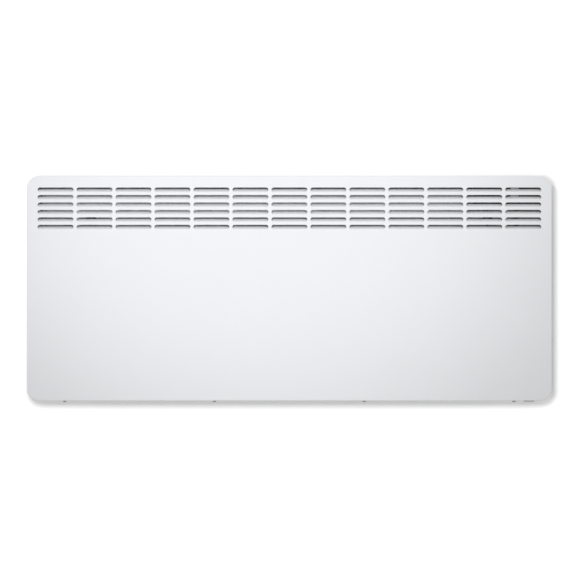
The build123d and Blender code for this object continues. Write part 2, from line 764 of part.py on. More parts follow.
with BuildPart() as cable_gland:
    with BuildSketch(Plane.XZ.offset(wall_gap)):
        with Locations((gland_x, gland_z)):
            RegularPolygon(gland_hex_radius, 6)
    extrude(amount=-gland_collar)
    with BuildSketch(Plane.XZ.offset(wall_gap)):
        with Locations((gland_x, gland_z)):
            Circle(gland_thread_radius)
    extrude(amount=gland_collar)
    with BuildSketch(Plane.XZ.offset(wall_gap - gland_collar)):
        with Locations((gland_x, gland_z)):
            Circle(gland_bore_radius)
    extrude(amount=2 * gland_collar, mode=Mode.SUBTRACT)
save(cable_gland, "cable_gland")

sensor_x = compartment_x + sensor_inset
with BuildPart() as sensor_holder:
    with BuildSketch(Plane.XY.offset(floor_top_z)):
        with Locations((sensor_x, -switch_gap)):
            Rectangle(sensor_holder_size, sensor_holder_size)
    extrude(amount=sensor_holder_size / 2)
save(sensor_holder, "sensor_holder")

with BuildPart() as room_sensor:
    with BuildSketch(Plane.YZ.offset(sensor_x)):
        with Locations((-switch_gap, floor_top_z + sensor_holder_size / 2 + sensor_radius)):
            RegularPolygon(sensor_radius, 8, major_radius=False, rotation=180 / 8)
    extrude(amount=sensor_holder_size, both=True)
save(room_sensor, "room_sensor")

element_lead_x = element_tab_x + tab_length + element_lead_reach
with BuildPart() as element_lead:
    with BuildLine(Plane.XZ.offset(element_gap)) as element_lead_path:
        FilletPolyline(
            (element_tab_x + tab_length, element_z),
            (element_lead_x, element_z),
            (element_lead_x, housing_bottom_z),
            radius=lead_bend,
        )
    with BuildSketch(Plane.YZ.offset(element_tab_x + tab_length)):
        with Locations((element_y, element_z)):
            Rectangle(sleeve_width, sleeve_thickness)
    sweep()
save(element_lead, "element_lead")

switch_lead_z = switch_top_z + tab_length
with BuildPart() as switch_lead:
    with BuildLine(Plane.XZ.offset(switch_gap)) as switch_lead_path:
        FilletPolyline(
            (switch_x, switch_lead_z),
            (switch_x, element_z),
            (switch_x - switch_lead_shift, element_z + 3 * switch_lead_shift),
            (switch_x - switch_lead_shift, housing_bottom_z),
            radius=lead_bend,
        )
    with BuildSketch(Plane.XY.offset(switch_lead_z)):
        with Locations((switch_x, -switch_gap)):
            Rectangle(sleeve_width, sleeve_thickness)
    sweep()
save(switch_lead, "switch_lead")
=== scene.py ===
import math

import bmesh
import bpy
from mathutils import Matrix, Vector


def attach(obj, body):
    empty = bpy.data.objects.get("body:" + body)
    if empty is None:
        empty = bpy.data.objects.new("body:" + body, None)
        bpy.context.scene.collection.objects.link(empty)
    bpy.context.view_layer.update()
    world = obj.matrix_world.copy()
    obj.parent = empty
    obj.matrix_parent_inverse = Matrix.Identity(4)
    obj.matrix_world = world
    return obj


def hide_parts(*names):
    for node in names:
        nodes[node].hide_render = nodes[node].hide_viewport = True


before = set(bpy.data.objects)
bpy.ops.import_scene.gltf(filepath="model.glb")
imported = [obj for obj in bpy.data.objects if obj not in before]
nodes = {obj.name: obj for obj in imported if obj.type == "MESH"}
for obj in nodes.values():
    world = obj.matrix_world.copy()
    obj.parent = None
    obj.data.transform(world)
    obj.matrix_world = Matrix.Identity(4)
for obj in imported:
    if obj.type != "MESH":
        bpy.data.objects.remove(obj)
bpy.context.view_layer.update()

# ---- Front panel -----------------------------------------------------------------------------
# One tray of 1 mm sheet steel. Its rim is bent back over 2 mm, 78 louvres are lanced and pressed
# inwards from the face, and the whole is powder coated white after forming.
MM = 0.001  # sizes are written in millimetres, and meshes are made in metres


class Signal:
    """A socket of a node tree. Arithmetic on it adds the Math nodes that work the sum out."""

    def __init__(self, recipe, socket):
        self.recipe = recipe
        self.socket = socket

    def sum(self, operation, first, second=0.0, clamp=False):
        settings = {"operation": operation, "use_clamp": clamp}
        return self.recipe.node("ShaderNodeMath", settings, {0: first, 1: second})

    def __add__(self, other):
        return self.sum("ADD", self, other)

    def __sub__(self, other):
        return self.sum("SUBTRACT", self, other)

    def __rsub__(self, other):
        return self.sum("SUBTRACT", other, self)

    def __mul__(self, other):
        return self.sum("MULTIPLY", self, other)

    def __truediv__(self, other):
        return self.sum("DIVIDE", self, other)

    __radd__ = __add__
    __rmul__ = __mul__

    def clipped(self):
        """The same value, held between 0 and 1."""
        return self.sum("ADD", self, 0.0, clamp=True)

    def sine(self):
        return self.sum("SINE", self)

    def beside(self, output):
        """Another output of the node that this socket belongs to."""
        return Signal(self.recipe, self.socket.node.outputs[output])


class Recipe:
    """A node tree that is written down node by node."""

    def __init__(self, tree):
        self.tree = tree

    def node(self, kind, settings=None, inputs=None, result=0):
        """Adds one node: its settings first, then the values or links of its sockets."""
        made = self.tree.nodes.new(kind)
        for name, value in (settings or {}).items():
            setattr(made, name, value)
        for name, value in (inputs or {}).items():
            if isinstance(value, Signal):
                self.tree.links.new(value.socket, made.inputs[name])
            else:
                made.inputs[name].default_value = value
        return Signal(self, made.outputs[result])


class Finish(Recipe):
    """A surface finish on Object coordinates, laid over one Principled shader."""

    def __init__(self, name, colour, roughness, metallic=0.0, **constants):
        self.slot = name
        self.material = bpy.data.materials.new(name)
        self.material.use_nodes = True
        super().__init__(self.material.node_tree)
        self.surface = self.tree.nodes["Principled BSDF"]
        self.colour = (*colour, 1.0)
        constants.update(Base_Color=self.colour, Roughness=roughness, Metallic=metallic)
        for socket, value in constants.items():
            self.surface.inputs[socket.replace("_", " ")].default_value = value
        self.place = self.node("ShaderNodeTexCoord", result="Object")

    def stretched(self, x, y, z):
        """Object coordinates drawn out, so that a pattern runs along one way."""
        return self.node("ShaderNodeMapping", {}, {"Vector": self.place, "Scale": (x, y, z)})

    def noise(self, scale, detail=2.0, place=None):
        """Cloudy noise between 0 and 1, with about this many patches to the metre."""
        inputs = {"Vector": place or self.place, "Scale": scale, "Detail": detail}
        return self.node("ShaderNodeTexNoise", {}, inputs, "Fac")

    def shade(self, share, depth):
        """The finish's own colour, darker by depth where share is 0 and lighter where it is 1."""
        dark = tuple(c * (1 - depth) for c in self.colour[:3]) + (1.0,)
        light = tuple(min(1.0, c * (1 + depth)) for c in self.colour[:3]) + (1.0,)
        settings = {"data_type": "RGBA", "clamp_factor": True}
        return self.node("ShaderNodeMix", settings, {0: share, 6: dark, 7: light}, 2)

    def feed(self, socket, signal):
        self.tree.links.new(signal.socket, self.surface.inputs[socket])

    def bump(self, height, depth, strength=1.0):
        """Relief of the given depth in metres."""
        inputs = {"Height": height, "Distance": depth, "Strength": strength}
        self.feed("Normal", self.node("ShaderNodeBump", {}, inputs))

    def onto(self, *pieces):
        for piece in pieces:
            piece.data.materials.clear()
            piece.data.materials.append(self.material)


def powder_coat():
    """White satin powder coat: a faint orange peel, and a little unevenness in its gloss."""
    cool_white = (0.892, 0.9, 0.922)
    coat = Finish("white_powder_coat", cool_white, roughness=0.42, Specular_IOR_Level=0.4)
    cloud = coat.noise(scale=9.0, detail=3.0)
    coat.feed("Base Color", coat.shade(cloud, depth=0.012))
    coat.feed("Roughness", 0.36 + 0.1 * coat.noise(scale=60.0) + 0.04 * cloud)
    orange_peel = coat.noise(scale=520.0, detail=1.0)
    coat.bump(orange_peel, depth=0.00006, strength=0.35)
    return coat


panel_half_width = 525.0
panel_half_height = 225.0
panel_corner = 24.0
panel_sheet = 1.0
panel_bend = 2.0
panel_front = -98.0
panel_rear = -28.0
bottom_lip_end = -72.0
corner_steps = 12
corner_points = corner_steps + 3  # the arc's points and a support point at each of its ends
bend_steps = 6
support = 0.4  # how far a support line lies from the curve that it keeps tight
louvre_columns = 13
louvre_rows = 6
pitch_across = 78.0
pitch_up = 14.9
field_centre = 160.15
slot_straight = 31.3  # half of the slot's straight part
slot_radius = 4.6
slot_end_steps = 12
tongue_steps = 10
tongue_strides = 400  # short straight strides that the tongue's curve is walked in
tongue_tip_angle = 57.0
tongue_turn_in = 0.1  # small: nearly all of the turn is close to where the tongue leaves the face
tongue_stretch = 1.03
tongue_kerf = 0.3
fascia_hole_x, fascia_hole_y = 438.0, -60.0
fascia_hole_half_x, fascia_hole_half_y = 62.3, 18.3
fascia_hole_corner = 3.0
fascia_hole_steps = 4


def tongue_rows():
    """Half length, depth and height of a tongue's rows. It is bent in from the slot's blank."""
    rows = []
    height = depth = walked = 0.0
    slot_height = 2 * slot_radius
    stride = slot_height / tongue_strides
    for row in range(tongue_steps + 1):
        along = slot_radius * (1 - math.cos(math.pi * row / tongue_steps))
        while walked < along - stride / 2:
            angle = math.radians(tongue_tip_angle * (walked / slot_height) ** tongue_turn_in)
            height += stride * tongue_stretch * math.cos(angle)
            depth += stride * tongue_stretch * math.sin(angle)
            walked += stride
        chord = math.sqrt(max(0.0, slot_radius**2 - (along - slot_radius) ** 2))
        rows.append((max(0.0, chord - tongue_kerf), depth, height))
    return rows


def end_angles():
    """The directions from the centre of a slot's right-hand end to its points, lowest first."""
    return [math.radians(-90 + 180 * step / slot_end_steps) for step in range(slot_end_steps + 1)]


def tile_edge(angle):
    """Where a ray from the centre of a slot's end leaves the louvre's tile."""
    reach_x = pitch_across / 2 - slot_straight
    reach_z = pitch_up / 2
    if abs(abs(math.degrees(angle)) - 45) < 1:
        return slot_straight + reach_x, math.copysign(reach_z, angle)
    if abs(math.degrees(angle)) > 45:
        return slot_straight + reach_z / abs(math.tan(angle)), math.copysign(reach_z, angle)
    return slot_straight + reach_x, reach_x * math.tan(angle)


def mirrored_ring(points):
    """A closed ring from the points of its right-hand half, lowest first."""
    return points + [(-x, z) for x, z in reversed(points)]


def join_rings(skin, rings, gaps=()):
    """Quads from each closed ring to the next. A gap is the level and place of one left out."""
    for level, (first, second) in enumerate(zip(rings, rings[1:])):
        for here in range(len(first)):
            after = (here + 1) % len(first)
            if (level, here) not in gaps:
                skin.faces.new((first[here], first[after], second[after], second[here]))


def ring_edges(skin, ring):
    """The edges round a closed ring of corners. Those that no face has yet are added."""
    edges = []
    for here in range(len(ring)):
        pair = (ring[here], ring[(here + 1) % len(ring)])
        edges.append(skin.edges.get(pair) or skin.edges.new(pair))
    return edges


def stored(skin, name):
    """Keeps the finished skin as a mesh."""
    mesh = bpy.data.meshes.new(name)
    skin.to_mesh(mesh)
    skin.free()
    return mesh


def louvre_mesh():
    """Front skin of one louvre and the web round it, centred on its slot."""
    skin = bmesh.new()
    outlines = [[tile_edge(angle) for angle in end_angles()]]
    for radius in (slot_radius + support, slot_radius):
        end = []
        for angle in end_angles():
            end.append((slot_straight + radius * math.cos(angle), radius * math.sin(angle)))
        outlines.append(end)
    made = []
    for outline in outlines:
        made.append([skin.verts.new((x * MM, 0, z * MM)) for x, z in mirrored_ring(outline)])
    join_rings(skin, made)
    # A row of the tongue has a tip at each end of its straight part. The slot's lower edge, which
    # is the first row, and the tongue's far edge have none.
    edge_left = made[-1][-1]
    edge_right = made[-1][0]
    lower = (edge_left, edge_left, edge_right, edge_right)
    for lobe, depth, height in tongue_rows()[1:]:
        y = depth * MM
        z = (height - slot_radius) * MM
        left = skin.verts.new((-slot_straight * MM, y, z))
        right = skin.verts.new((slot_straight * MM, y, z))
        upper = (left, left, right, right)
        if lobe > 0:
            tip_left = skin.verts.new((-(slot_straight + lobe) * MM, y, z))
            tip_right = skin.verts.new(((slot_straight + lobe) * MM, y, z))
            upper = (tip_left, left, right, tip_right)
        for here in range(3):
            corners = []
            for corner in (lower[here], lower[here + 1], upper[here + 1], upper[here]):
                if corner not in corners:
                    corners.append(corner)
            if len(corners) > 2:
                skin.faces.new(corners)
        lower = upper
    bmesh.ops.recalc_face_normals(skin, faces=skin.faces)
    if sum(face.normal.y for face in skin.faces) > 0:
        bmesh.ops.reverse_faces(skin, faces=skin.faces)
    return stored(skin, "louvre")


quadrants = ((1, 1, 0), (-1, 1, 90), (-1, -1, 180), (1, -1, 270))  # signs and first angle


def corner_arc(quadrant, centre_x, centre_z, radius, steps):
    """One corner of a rounded rectangle. The centre is that of the first quadrant's corner."""
    sign_x, sign_z, start = quadrant
    arc = []
    for step in range(steps + 1):
        angle = math.radians(start + 90 * step / steps)
        x = sign_x * centre_x + radius * math.cos(angle)
        arc.append((x, sign_z * centre_z + radius * math.sin(angle)))
    return arc


def panel_outline(inset):
    """The panel's rounded rectangle, drawn in by inset, with support points at its corners."""
    points = []
    centre_x = panel_half_width - panel_corner
    centre_z = panel_half_height - panel_corner
    for quadrant in quadrants:
        sign_x, sign_z, start = quadrant
        arc = corner_arc(quadrant, centre_x, centre_z, panel_corner - inset, corner_steps)
        along_x = (-sign_x * support, 0)
        along_z = (0, -sign_z * support)
        enter, leave = (along_z, along_x) if start in (0, 180) else (along_x, along_z)
        points.append((arc[0][0] + enter[0], arc[0][1] + enter[1]))
        points.extend(arc)
        points.append((arc[-1][0] + leave[0], arc[-1][1] + leave[1]))
    return points


def field_border():
    """The louvre field's outer corners, as its tiles have them, once round from the lower left."""
    reach_x = pitch_across * louvre_columns / 2
    reach_z = pitch_up * louvre_rows / 2
    side_z = sorted({tile_edge(a)[1] for a in end_angles() if abs(math.degrees(a)) < 46})
    right_x = sorted({tile_edge(a)[0] for a in end_angles() if abs(math.degrees(a)) > 44})
    top_x = [-x for x in reversed(right_x)] + right_x
    columns = [pitch_across * (n - (louvre_columns - 1) / 2) for n in range(louvre_columns)]
    rows = [pitch_up * (n - (louvre_rows - 1) / 2) for n in range(louvre_rows)]
    border = [(centre + x, -reach_z) for centre in columns for x in top_x]
    border += [(reach_x, centre + z) for centre in rows for z in side_z]
    border += [(centre + x, reach_z) for centre in reversed(columns) for x in reversed(top_x)]
    border += [(-reach_x, centre + z) for centre in reversed(rows) for z in reversed(side_z)]
    loop = []
    for point in border:
        if not loop or math.dist(point, loop[-1]) > 0.001:
            loop.append(point)
    if math.dist(loop[0], loop[-1]) < 0.001:
        loop.pop()
    return loop


def frame_mesh():
    """Front skin of the panel outside the louvre field, its bent rim and its four walls."""
    skin = bmesh.new()
    profile = [(panel_bend + support, panel_front)]
    for step in range(bend_steps + 1):
        angle = math.radians(90 * step / bend_steps)
        y = panel_front + panel_bend * (1 - math.cos(angle))
        profile.append((panel_bend * (1 - math.sin(angle)), y))
    profile.append((0.0, panel_front + panel_bend + support))
    profile.append((0.0, bottom_lip_end))
    profile.append((0.0, panel_rear))
    rings = []
    for inset, y in profile:
        rings.append([skin.verts.new((x * MM, y * MM, z * MM)) for x, z in panel_outline(inset)])
    top = corner_points - 1
    bottom = 3 * corner_points - 1
    lip = len(profile) - 2
    # Left out: the top wall, filled later round the fascia's hole, and the bottom behind its lip.
    join_rings(skin, rings, gaps={(lip - 1, top), (lip, top), (lip, bottom)})
    face_edges = ring_edges(skin, rings[0])
    inner = []
    for x, z in field_border():
        inner.append(skin.verts.new((x * MM, panel_front * MM, (z + field_centre) * MM)))
    face_edges += ring_edges(skin, inner)
    bmesh.ops.triangle_fill(skin, edges=face_edges, use_beauty=True, normal=(0, -1, 0))
    hole = []
    for quadrant in quadrants:
        centre_x = fascia_hole_half_x - fascia_hole_corner
        centre_y = fascia_hole_half_y - fascia_hole_corner
        arc = corner_arc(quadrant, centre_x, centre_y, fascia_hole_corner, fascia_hole_steps)
        for x, y in arc:
            place = (fascia_hole_x + x, fascia_hole_y + y, panel_half_height)
            hole.append(skin.verts.new([length * MM for length in place]))
    top_edges = ring_edges(skin, hole)
    left_side = [ring[top + 1] for ring in rings[lip - 1 :]]
    right_side = [ring[top] for ring in rings[lip - 1 :]]
    top_edges += ring_edges(skin, right_side + list(reversed(left_side)))
    bmesh.ops.triangle_fill(skin, edges=top_edges, use_beauty=True, normal=(0, 0, 1))
    bmesh.ops.recalc_face_normals(skin, faces=skin.faces)
    # A face on the panel's front tells whether the whole skin looks outwards.
    for face in skin.faces:
        on_front = face.calc_center_median().y < (panel_front + 0.1) * MM
        if abs(face.normal.y) > 0.99 and on_front:
            if face.normal.y > 0:
                bmesh.ops.reverse_faces(skin, faces=skin.faces)
            break
    return stored(skin, "panel_frame")


def new_object(name, mesh):
    """An object in the scene, at the origin."""
    piece = bpy.data.objects.new(name, mesh)
    bpy.context.scene.collection.objects.link(piece)
    return piece


def repeat_tree(name):
    """Geometry nodes that repeat a piece on a grid, join it to the base and weld the two."""
    tree = bpy.data.node_groups.new(name, "GeometryNodeTree")
    interface = tree.interface
    interface.new_socket("Geometry", in_out="OUTPUT", socket_type="NodeSocketGeometry")
    for label, kind in (
        ("Base", "NodeSocketGeometry"),
        ("Repeated piece", "NodeSocketObject"),
        ("Columns", "NodeSocketInt"),
        ("Rows", "NodeSocketInt"),
        ("Pitch across", "NodeSocketFloat"),
        ("Pitch up", "NodeSocketFloat"),
        ("Centre", "NodeSocketVector"),
        ("Finish", "NodeSocketMaterial"),
    ):
        interface.new_socket(label, in_out="INPUT", socket_type=kind)
    recipe = Recipe(tree)
    entry = tree.nodes.new("NodeGroupInput")

    def given(label):
        return Signal(recipe, entry.outputs[label])

    grid = recipe.node(
        "GeometryNodeMeshGrid",
        inputs={
            "Size X": given("Pitch across") * (given("Columns") - 1),
            "Size Y": given("Pitch up") * (given("Rows") - 1),
            "Vertices X": given("Columns"),
            "Vertices Y": given("Rows"),
        },
    )
    upright = (math.radians(90), 0, 0)
    turn = {"Geometry": grid, "Translation": given("Centre"), "Rotation": upright}
    places = recipe.node("GeometryNodeTransform", {}, turn)
    points = recipe.node("GeometryNodeMeshToPoints", {}, {"Mesh": places})
    wanted = {"Object": given("Repeated piece")}
    single = recipe.node("GeometryNodeObjectInfo", {}, wanted, "Geometry")
    spread = {"Points": points, "Instance": single}
    copies = recipe.node("GeometryNodeInstanceOnPoints", {}, spread)
    joint = tree.nodes.new("GeometryNodeJoinGeometry")
    tree.links.new(copies.socket, joint.inputs[0])
    tree.links.new(given("Base").socket, joint.inputs[0])
    joined = Signal(recipe, joint.outputs[0])
    real = recipe.node("GeometryNodeRealizeInstances", {}, {"Geometry": joined})
    weld = {"Geometry": real, "Distance": 0.02 * MM}
    whole = recipe.node("GeometryNodeMergeByDistance", {}, weld)
    coat = {"Geometry": whole, "Material": given("Finish")}
    coated = recipe.node("GeometryNodeSetMaterial", {}, coat)
    outlet = tree.nodes.new("NodeGroupOutput")
    tree.links.new(coated.socket, outlet.inputs[0])
    return tree


repeat_on_grid = repeat_tree("repeat_on_grid")


def add_repeat(piece, values):
    """Gives the piece the repeat tree and sets its named inputs."""
    modifier = piece.modifiers.new("repeat", "NODES")
    modifier.node_group = repeat_on_grid
    for item in repeat_on_grid.interface.items_tree:
        if item.in_out == "INPUT" and item.name in values:
            modifier[item.identifier] = values[item.name]


def as_plain_mesh(piece, spare=()):
    """Turns what the modifiers make into the piece's own mesh, and takes the spare parts away."""
    depsgraph = bpy.context.evaluated_depsgraph_get()
    mesh = bpy.data.meshes.new_from_object(piece.evaluated_get(depsgraph), depsgraph=depsgraph)
    piece.modifiers.clear()
    piece.data = mesh
    for extra in spare:
        bpy.data.objects.remove(extra)
    return piece


def smooth_but_creased(piece, degrees):
    piece.data.shade_smooth()
    piece.data.set_sharp_from_angle(angle=math.radians(degrees))


white_coat = powder_coat()
louvre = new_object("louvre_pattern", louvre_mesh())
front_panel = new_object("front_panel_pressing", frame_mesh())
add_repeat(
    front_panel,
    {
        "Repeated piece": louvre,
        "Columns": louvre_columns,
        "Rows": louvre_rows,
        "Pitch across": pitch_across * MM,
        "Pitch up": pitch_up * MM,
        "Centre": (0.0, panel_front * MM, field_centre * MM),
        "Finish": white_coat.material,
    },
)
sheet = front_panel.modifiers.new("sheet", "SOLIDIFY")
sheet.thickness = panel_sheet * MM
sheet.offset = -1.0
sheet.use_even_offset = True
edge = front_panel.modifiers.new("edge", "BEVEL")
edge.width = 0.16 * MM
edge.segments = 1
edge.limit_method = "ANGLE"
edge.angle_limit = math.radians(62)
as_plain_mesh(front_panel, [louvre])
# No bevel of a tongue's edge stands proud of the face.
for vertex in front_panel.data.vertices:
    vertex.co.y = max(vertex.co.y, panel_front * MM)
smooth_but_creased(front_panel, degrees=34)
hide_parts("front_panel")
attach(front_panel, "heater")

# ---- Panel screws ----------------------------------------------------------------------------
# Four pan-head screws of dark zinc-plated steel, with a cross recess. They go up through the
# panel's bottom lip into the casing's floor.
screw_count = 4
screw_pitch = 300.0
screw_y = -85.0
screw_steps = 24
screw_radius = 3.5
screw_height = 2.85
# Radius and height of the head's rings, from the panel's lip down.
screw_profile = (
    (3.35, 0.0),
    (screw_radius, -0.2),
    (screw_radius, -1.5),
    (3.3, -2.2),
    (2.85, -2.68),
    (2.3, -screw_height),
)
recess_reach = 1.9
recess_half = 0.45
recess_depth = 1.1
recess_taper = 0.7


def screw_head_mesh():
    """One pan head hanging from z = 0, with its cross recess looking down."""
    head = bmesh.new()
    rings = []
    for radius, z in screw_profile:
        ring = []
        for step in range(screw_steps):
            angle = math.radians(360 * step / screw_steps)
            place = (radius * math.cos(angle), radius * math.sin(angle), z)
            ring.append(head.verts.new([length * MM for length in place]))
        rings.append(ring)
    join_rings(head, rings)
    head.faces.new(rings[0])
    cross = []
    corners = (
        (recess_half, recess_half),
        (recess_half, recess_reach),
        (-recess_half, recess_reach),
    )
    for quarter in range(4):
        turn = Matrix.Rotation(math.radians(90 * quarter), 2)
        cross += [turn @ Vector(corner) for corner in corners]
    lip = [head.verts.new((p.x * MM, p.y * MM, -screw_height * MM)) for p in cross]
    sink_z = (recess_depth - screw_height) * MM
    sink = []
    for p in cross:
        sink.append(head.verts.new((p.x * recess_taper * MM, p.y * recess_taper * MM, sink_z)))
    edges = ring_edges(head, rings[-1]) + ring_edges(head, lip)
    bmesh.ops.triangle_fill(head, edges=edges, use_beauty=True, normal=(0, 0, -1))
    join_rings(head, [lip, sink])
    head.faces.new(sink)
    bmesh.ops.recalc_face_normals(head, faces=head.faces)
    return stored(head, "screw_head")


def metal_finish(name, colour, roughness, grain, metallic=1.0):
    """Plated or bare metal with a fine grain and a patchy gloss."""
    metal = Finish(name, colour, roughness, metallic)
    patches = metal.noise(scale=45.0, detail=4.0)
    fine = metal.noise(scale=grain)
    metal.feed("Base Color", metal.shade(0.6 * patches + 0.4 * fine, depth=0.16))
    metal.feed("Roughness", roughness - 0.12 + 0.24 * patches)
    metal.bump(fine, depth=0.00003, strength=0.3)
    return metal


dark_grey = (0.42, 0.42, 0.43)
dark_zinc = metal_finish("dark_zinc_steel", dark_grey, roughness=0.45, grain=1500.0, metallic=0.85)
screw_pattern = new_object("screw_pattern", screw_head_mesh())
screws = new_object("panel_screw_heads", bpy.data.meshes.new("panel_screw_heads"))
add_repeat(
    screws,
    {
        "Repeated piece": screw_pattern,
        "Columns": screw_count,
        "Rows": 1,
        "Pitch across": screw_pitch * MM,
        "Pitch up": 0.0,
        "Centre": (0.0, screw_y * MM, -panel_half_height * MM),
        "Finish": dark_zinc.material,
    },
)
as_plain_mesh(screws, [screw_pattern])
smooth_but_creased(screws, degrees=40)
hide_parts("panel_screws")
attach(screws, "heater")

# ---- Rear casing -----------------------------------------------------------------------------
# Folded tray of 0.8 mm hot-dip galvanised sheet, left unpainted. The front panel closes it, and
# its floor has the air-intake slots.


def galvanised(colour):
    """Zinc coating with a faint spangle: flat crystals of a few millimetres, each a little off."""
    zinc = Finish("galvanised_steel", colour, roughness=0.42, metallic=0.9)
    crystals = {"Vector": zinc.place, "Scale": 130.0}
    cell = zinc.node("ShaderNodeTexVoronoi", {"feature": "F1"}, crystals, "Color")
    tone = zinc.node("ShaderNodeSeparateColor", {}, {"Color": cell}, 0)
    haze = zinc.noise(scale=14.0, detail=3.0)
    zinc.feed("Base Color", zinc.shade(0.55 * tone + 0.45 * haze, depth=0.13))
    zinc.feed("Roughness", 0.3 + 0.16 * tone + 0.12 * haze)
    zinc.bump(zinc.noise(scale=900.0), depth=0.00003, strength=0.25)
    return zinc


# Painted shade: the zinc of the casing, shield, compartment wall and bracket is made darker than
# the deflector's, for the shade deep inside behind the louvres.
zinc_with_painted_shade = galvanised(colour=(0.46, 0.47, 0.48))
zinc_with_painted_shade.onto(nodes["rear_casing"])

# ---- Wall bracket, latches and feet ----------------------------------------------------------
# Two hat-section arms and two rails of 1.5 mm zinc-plated steel are screwed to the wall. Black
# nylon latches on steel pins hold the heater's rear wall, and two plastic feet keep its bottom off
# the wall.
bracket_zinc = metal_finish("bracket_steel", (0.62, 0.63, 0.64), roughness=0.38, grain=1100.0)
bracket_zinc.onto(
    nodes["bracket_arm_left"],
    nodes["bracket_arm_right"],
    nodes["bracket_rail_upper"],
    nodes["bracket_rail_lower"],
    nodes["latch_pin_left"],
    nodes["latch_pin_right"],
)


def moulded(name, colour, roughness, **constants):
    """Injection-moulded plastic with a fine eroded texture."""
    plastic = Finish(name, colour, roughness, **constants)
    grains = plastic.noise(scale=1400.0, detail=3.0)
    drift = plastic.noise(scale=25.0)
    plastic.feed("Base Color", plastic.shade(0.7 * drift + 0.3 * grains, depth=0.05))
    plastic.feed("Roughness", roughness - 0.06 + 0.12 * grains)
    plastic.bump(grains, depth=0.00004, strength=0.5)
    return plastic


black_plastic = moulded("black_plastic", (0.03, 0.03, 0.032), roughness=0.5)
dull_black = (0.012, 0.012, 0.013)
black_nylon = moulded("black_nylon", dull_black, roughness=0.62, Specular_IOR_Level=0.25)
black_nylon.onto(nodes["latch_left"], nodes["latch_right"])


def stacked_mesh(name, layers, place):
    """Closed skin through rounded rectangles: half length, half width, corner and height."""
    skin = bmesh.new()
    rings = []
    for half_x, half_y, corner, height in layers:
        ring = []
        for quadrant in quadrants:
            for x, y in corner_arc(quadrant, half_x - corner, half_y - corner, corner, steps=4):
                ring.append(skin.verts.new((place @ Vector((x, y, height))) * MM))
        rings.append(ring)
    join_rings(skin, rings)
    skin.faces.new(rings[0])
    skin.faces.new(rings[-1])
    bmesh.ops.recalc_face_normals(skin, faces=skin.faces)
    return stored(skin, name)


def dress(name, mesh, finish, node, body):
    """Puts a moulded piece in the place of a bare one, on the body that carries it."""
    piece = new_object(name, mesh)
    smooth_but_creased(piece, degrees=35)
    finish.onto(piece)
    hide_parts(node)
    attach(piece, body)


foot_z = -205.0
foot_layers = (
    (10.6, 6.6, 1.6, 0.01),
    (11.6, 7.6, 2.4, 0.4),
    (12.0, 8.0, 2.8, 1.4),
    (12.0, 8.0, 2.8, 28.0),
)
for side, foot_x in (("left", -489.0), ("right", 489.0)):
    toward_casing = Matrix.Rotation(math.radians(90), 4, "X")
    foot_place = Matrix.Translation((foot_x, 0.0, foot_z)) @ toward_casing
    foot = stacked_mesh(f"moulded_foot_{side}", foot_layers, foot_place)
    dress(f"moulded_foot_{side}", foot, black_plastic, f"wall_foot_{side}", "heater")

# ---- Air duct and heating element ------------------------------------------------------------
# Galvanised shield, compartment wall and deflector make the duct. The element is an extruded
# aluminium X profile between two steatite bushes, with tinned brass tabs on its live end.
zinc_with_painted_shade.onto(nodes["heat_shield"], nodes["compartment_wall"], nodes["element_bracket"])
# Painted light: the deflector's zinc is the same coating made much paler, for the light on it just
# behind the louvres.
zinc_with_painted_light = galvanised(colour=(0.79, 0.8, 0.81))
zinc_with_painted_light.onto(nodes["air_deflector"])


def extruded_aluminium():
    """Matt extruded aluminium: fine draw lines along its length."""
    metal = Finish("element_aluminium", (0.55, 0.55, 0.56), roughness=0.45, metallic=1.0)
    along_profile = metal.stretched(0.02, 1.0, 1.0)
    lines = metal.noise(scale=900.0, place=along_profile)
    metal.feed("Base Color", metal.shade(lines, depth=0.12))
    metal.feed("Roughness", 0.36 + 0.2 * lines)
    metal.bump(lines, depth=0.00004, strength=0.4)
    return metal


def steatite():
    """Unglazed technical ceramic: matt cream with fine specks."""
    ceramic = Finish("ceramic_white", (0.85, 0.83, 0.78), roughness=0.7)
    specks = ceramic.noise(scale=700.0, detail=4.0)
    ceramic.feed("Base Color", ceramic.shade(specks, depth=0.07))
    ceramic.bump(specks, depth=0.00005, strength=0.4)
    return ceramic


extruded_aluminium().onto(nodes["heating_element"])
steatite().onto(nodes["element_bush_left"], nodes["element_bush_right"])
tinned_brass = metal_finish("brass_tabs", (0.72, 0.6, 0.35), roughness=0.35, grain=1600.0)
tinned_brass.onto(nodes["element_tabs"], nodes["switch_tabs"])
black_plastic.onto(nodes["safety_limiter"])

# ---- Control unit ----------------------------------------------------------------------------
# Black moulded housing under the panel's top edge, with a fascia that fills the opening: a smoked
# window over the display and four grey keys beside it. The board and its relay are inside.
white_plastic = moulded("white_plastic", (0.85, 0.86, 0.86), roughness=0.42)
grey_plastic = moulded("grey_plastic", (0.45, 0.46, 0.47), roughness=0.48)


def smoked_window():
    """Polished smoked polycarbonate."""
    window = Finish("clear_window", (0.05, 0.06, 0.07), roughness=0.08)
    haze = window.noise(scale=30.0)
    window.feed("Base Color", window.shade(haze, depth=0.1))
    window.feed("Roughness", 0.05 + 0.05 * haze)
    return window


def solder_mask():
    """Green circuit board: darker laminate between paler copper runs."""
    board = Finish("board_green", (0.05, 0.22, 0.12), roughness=0.32)
    inputs = {"Vector": board.place, "Scale": 180.0}
    runs = board.node("ShaderNodeTexBrick", {"offset": 0.5}, inputs, "Fac")
    board.feed("Base Color", board.shade(runs, depth=0.3))
    board.bump(runs, depth=0.00003, strength=0.4)
    return board


white_plastic.onto(nodes["control_fascia"])
smoked_window().onto(nodes["display_window"])
black_plastic.onto(nodes["control_housing"], nodes["display_module"], nodes["power_relay"])
solder_mask().onto(nodes["circuit_board"])
grey_plastic.onto(nodes["lead_plug"])
key_count = 4
key_pitch = 14.5
last_key_x = 489.0
key_y = -60.0
